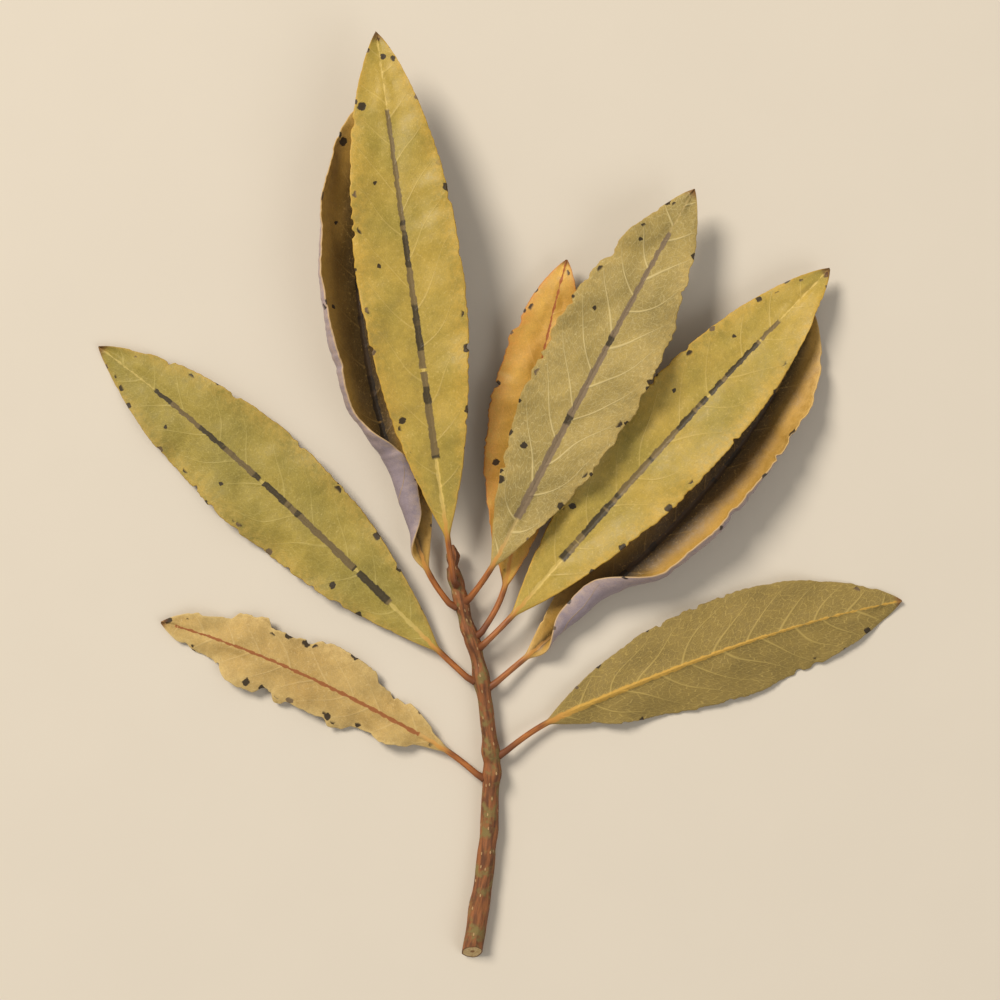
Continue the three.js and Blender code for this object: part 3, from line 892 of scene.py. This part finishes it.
def leaf_midrib(r, leaf, labels, upper, colour):
    """A fine pale line all the way, orange at its foot, and the dark band on the upper face."""
    wobble = r.fade(r.noise(labels.place, 0.8, 2), 0.3, 0.7, -0.12, 0.12)
    off = r.math("ADD", labels.out, wobble)
    half_width = r.fade(labels.share, 0.0, 0.9, 0.34 if upper else 0.5, 0.12)
    line = within(r, r.math("DIVIDE", off, half_width), 1.0, 0.3)
    line_colour = r.blend(r.fade(labels.v, 7.0, 0.5), LOOKS[leaf["look"]]["rib_pale"], RIB_ORANGE)
    colour = r.blend(r.times(line, 0.85), colour, line_colour)
    return midrib_band(r, leaf, labels, off, colour) if upper else colour


def spot_layer(r, place, cell, largest, share):
    """Rough-edged dark squares, in this share of the cells, and a number that tells the cells apart."""
    squarish = dict(distance="MINKOWSKI", exponent=SPOT_SQUARENESS)
    distance = r.times(r.cells(place, cell, **squarish), cell)
    chance = r.split(r.cells(place, cell, "Color", **squarish))
    size = r.fade(chance[1], 0.0, 1.0, largest * 0.45, largest)
    spot = within(r, r.math("DIVIDE", distance, size), 1.0, 0.12)
    return r.times(spot, r.fade(chance[0], 1 - share, 1 - share + 0.01)), chance[2]


def leaf_spots(r, leaf, labels, upper, colour):
    """A few spots over the blade, and more of them along the margin."""
    amount = LOOKS[leaf["look"]]["spots"] * (1.0 if upper else 0.5)
    bent = r.scaled(r.noise(labels.place, 1.3, 3, 0.6, colour=True), (0.8, 0.8, 0.0))
    place = r.add("ShaderNodeVectorMath", {0: labels.place, 1: bent}, operation="ADD")
    place = r.add("ShaderNodeVectorRotate", {"Vector": place, "Angle": 0.5}, rotation_type="Z_AXIS")
    inner, inner_kind = spot_layer(r, place, 6.5, 0.72, amount)
    outer, _ = spot_layer(r, r.scaled(place, (1, 1, 0), (31, 17, 0)), 3.1, 0.66, min(amount * 2.2, 0.9))
    outer = r.times(outer, r.fade(labels.margin, 1.3, 0.8))
    spots = r.times(r.math("MAXIMUM", inner, outer), r.fade(labels.share, 0.035, 0.06))
    tint = r.blend(r.fade(inner_kind, 0.66, 0.7), SPOT_DARK, SPOT_PALE)
    return r.blend(r.times(spots, 0.95), colour, tint), spots


def leaf_stalk(r, labels, colour):
    """Orange-brown, streaked, and darker at its very foot."""
    streak = r.fade(r.noise(r.scaled(labels.place, (3.0, 0.35, 0)), 1.0, 3), 0.3, 0.75)
    streak = r.math("MAXIMUM", streak, r.fade(labels.v, -4.0, -8.5))
    return r.blend(r.fade(labels.v, 1.6, -1.6), colour, r.blend(streak, STALK_ORANGE, STALK_DARK))


def leaf_face(leaf, face):
    """One face of a leaf: its upper or under skin."""
    r = Recipe(leaf["name"] + "_" + face)
    upper = face == "over"
    look = LOOKS[leaf["look"]]
    labels = LeafLabels(r)
    veins = leaf_veins(r, look, labels, upper)
    colour = leaf_ground(r, leaf, labels, upper)
    colour = r.blend(r.times(veins, 0.7), colour, look["vein_pale"])
    colour = leaf_midrib(r, leaf, labels, upper, colour)
    colour = r.blend(r.fade(labels.margin, 0.34, 0.1, 0.0, 0.6), colour, look["edge"])
    colour, spots = leaf_spots(r, leaf, labels, upper, colour)
    colour = r.blend(r.fade(labels.share, 0.975, 0.995, 0.0, 0.8), colour, TIP_BROWN)
    colour = leaf_stalk(r, labels, colour)

    roughness = r.fade(labels.mottle, 0.3, 0.7, look["roughness"] - 0.07, look["roughness"] + 0.08)
    height = r.math("ADD", r.times(labels.mottle, 0.35), r.times(labels.grain, 0.22))
    height = r.math("ADD", height, r.times(veins, 0.5))
    height = r.math("SUBTRACT", height, r.times(spots, 0.3))
    return r.surface(colour, roughness, height, 0.00012, 0.42)


def bark():
    r = Recipe("twig_bark")
    place = r.label("place")
    streaks = r.noise(r.scaled(place, (1.6, 0.22, 1.6)), 1.0, 5, 0.6)
    mottle = r.noise(place, 0.5, 4, 0.6)
    fine = r.noise(place, 4.0, 3, 0.6)
    colour = r.blend(r.fade(streaks, 0.35, 0.65), BARK_RED, BARK_DARK)
    colour = r.blend(r.fade(mottle, 0.48, 0.66), colour, BARK_GREEN)
    pore_place = r.scaled(r.label("bark"), (0.42, 0.8, 0.0))
    rare = r.fade(r.split(r.cells(pore_place, 1.0, "Color"))[0], 0.62, 0.66)
    pore = r.times(r.fade(r.cells(pore_place, 1.0), 0.15, 0.1), rare)
    colour = r.blend(r.times(pore, 0.8), colour, BARK_PORE)
    height = r.math("ADD", r.times(streaks, 0.9), r.times(fine, 0.3))
    height = r.math("ADD", height, r.times(pore, 0.5))
    return r.surface(colour, r.fade(mottle, 0.3, 0.7, 0.6, 0.82), height, 0.00022, 0.35)


def cut_wood():
    """The cut end: pale wood round a brown pith, with the bark as a dark rim."""
    r = Recipe("twig_cut")
    place = r.label("cut")
    out = r.split(place)[0]
    rays = r.noise(place, 3.0, 3)
    colour = r.blend(r.fade(rays, 0.3, 0.7), WOOD_PALE, WOOD_TAN)
    colour = r.blend(r.fade(out, 0.26, 0.16), colour, PITH)
    colour = r.blend(r.fade(out, 0.84, 0.95), colour, CUT_BARK)
    return r.surface(colour, r.fade(rays, 0.3, 0.7, 0.7, 0.85), rays, 0.0001, 0.3)


# ---------------------------------------------------------------- stage


def floor_paint():
    r = Recipe("pale_floor")
    place = r.add("ShaderNodeTexCoord", output="Object")
    cloud = r.noise(place, 40.0, 3)
    colour = r.blend(r.fade(cloud, 0.3, 0.7, 0.0, 0.15), FLOOR, darker(FLOOR, 0.92))
    return r.surface(colour, 0.8, cloud, 0.00005, 0.3)


def make_floor():
    reach = 3.0
    corners = [(-reach, -reach, 0), (reach, -reach, 0), (reach, reach, 0), (-reach, reach, 0)]
    mesh = bpy.data.meshes.new("floor")
    mesh.from_pydata(corners, [], [(0, 1, 2, 3)])
    mesh.materials.append(floor_paint())
    floor = bpy.data.objects.new("floor", mesh)
    bpy.context.scene.collection.objects.link(floor)


def soft_light(name, place, size, power, colour):
    lamp = bpy.data.lights.new(name, "AREA")
    lamp.shape = "DISK"
    lamp.size = size
    lamp.energy = power
    lamp.color = colour
    holder = bpy.data.objects.new(name, lamp)
    holder.location = place
    holder.rotation_euler = (-Vector(place)).to_track_quat("-Z", "Y").to_euler()
    bpy.context.scene.collection.objects.link(holder)


def make_lights():
    soft_light("key", place=(-1.1, 1.1, 1.5), size=0.84, power=46.0, colour=(1.0, 0.95, 0.88))
    soft_light("fill", place=(1.2, -0.9, 1.4), size=1.4, power=9.0, colour=(0.93, 0.96, 1.0))
    world = bpy.data.worlds.new("studio")
    world.use_nodes = True
    background = world.node_tree.nodes["Background"]
    background.inputs["Color"].default_value = (1.0, 0.97, 0.93, 1.0)
    background.inputs["Strength"].default_value = 0.34
    bpy.context.scene.world = world


def make_camera():
    lens = 85.0
    sensor = 36.0
    seen = 0.176  # metres of the floor from side to side
    camera = bpy.data.cameras.new("camera")
    camera.lens = lens
    camera.sensor_width = sensor
    holder = bpy.data.objects.new("camera", camera)
    holder.location = (0.0, 0.0, seen * lens / sensor)
    bpy.context.scene.collection.objects.link(holder)
    bpy.context.scene.camera = holder


# ---------------------------------------------------------------- the scene

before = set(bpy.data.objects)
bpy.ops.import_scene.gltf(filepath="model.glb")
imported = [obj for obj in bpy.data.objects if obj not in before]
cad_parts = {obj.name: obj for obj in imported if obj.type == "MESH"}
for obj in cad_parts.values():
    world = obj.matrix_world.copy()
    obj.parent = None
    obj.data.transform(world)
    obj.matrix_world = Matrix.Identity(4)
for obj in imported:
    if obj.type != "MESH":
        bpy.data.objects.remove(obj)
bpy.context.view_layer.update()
bpy.context.scene.view_settings.view_transform = "Standard"

make_camera()
make_floor()
make_lights()

pieces = {"twig": make_twig()}
for leaf in LEAVES:
    pieces[leaf["name"]] = make_leaf(leaf)
for node, piece in pieces.items():
    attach(piece, "root")
    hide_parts(node)
